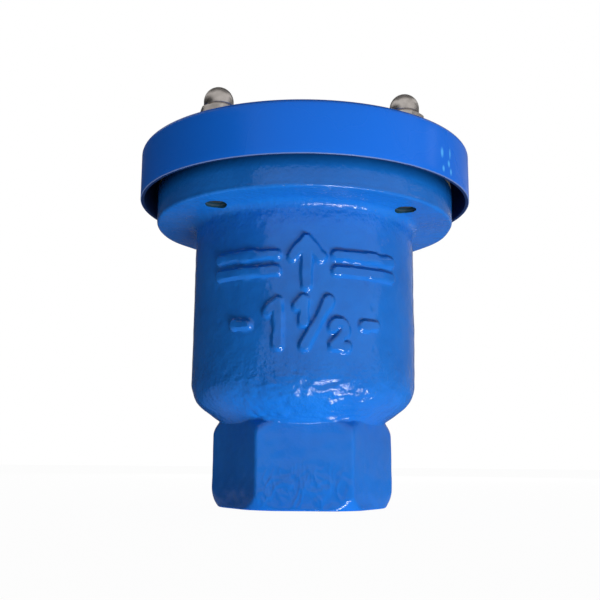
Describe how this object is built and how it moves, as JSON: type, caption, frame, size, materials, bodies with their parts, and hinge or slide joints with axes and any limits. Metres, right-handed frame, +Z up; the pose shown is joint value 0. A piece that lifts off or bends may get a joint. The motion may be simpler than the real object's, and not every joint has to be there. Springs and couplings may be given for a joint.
{
  "type": "air release valve",
  "caption": "Air release valve with a hexagonal threaded inlet, blue barrel body, flanged top and skirted vent cap; a float and lever inside shut two orifices.",
  "frame": {"origin": "centre of the inlet face at the bottom of the hexagon, which is also the bottom centre of the whole part", "axes": "+Z up along the flow, out of the inlet towards the vent cap; -Y is the front, square to a flat of the hexagon; +X towards the lever's pivot"},
  "size_m": [0.134, 0.134, 0.1566],
  "materials": {
    "blue_casting": "thick glossy blue coating on cast iron, with soft edges and a slightly lumpy skin",
    "blue_sheet": "smooth satin blue paint on pressed steel sheet",
    "stainless": "turned and polished stainless steel",
    "pressed_stainless": "pressed stainless sheet with a ground weld",
    "bronze": "turned bronze",
    "seal_rubber": "matt black moulded rubber",
    "gasket_fibre": "pale compressed fibre sheet"
  },
  "bodies": {
    "valve_body": {"body": "blue_casting", "guide_spider": "stainless", "guide_bush": "bronze", "spider_clip": "stainless", "body_gasket": "gasket_fibre", "bonnet": "blue_casting", "seat_ring": "seal_rubber", "seat_retainer": "stainless", "retainer_screws": "stainless", "studs": "stainless", "cap_spacers": "stainless", "vent_cap": "blue_sheet", "cap_washers": "stainless", "acorn_nuts": "stainless"},
    "plug_unit": {"plug": "bronze", "orifice_jet": "stainless", "pivot_pin": "stainless", "pivot_clip": "stainless"},
    "lever_unit": {"lever": "stainless", "orifice_button": "seal_rubber", "button_nut": "stainless"},
    "float_unit": {"float_yoke": "stainless", "float_upper_half": "pressed_stainless", "float_lower_half": "pressed_stainless", "guide_rod": "stainless", "link_pin": "stainless", "link_clip": "stainless"}
  },
  "joints": [
    {"name": "plug_lift", "type": "slide", "parent": "valve_body", "child": "plug_unit", "axis": [0, 0, 1], "range_m": [0, 0.006]},
    {"name": "float_rise", "type": "slide", "parent": "plug_unit", "child": "float_unit", "axis": [0, 0, 1], "range_m": [0, 0.003]},
    {"name": "lever_swing", "type": "hinge", "parent": "plug_unit", "child": "lever_unit", "pos_m": [0.014, 0, 0.1094], "axis": [0, 1, 0], "range_deg": [0, 12.1]}
  ],
  "couplings": [
    {"joint": "lever_swing", "follows": "float_rise", "rad_per_m": 70.364}
  ]
}
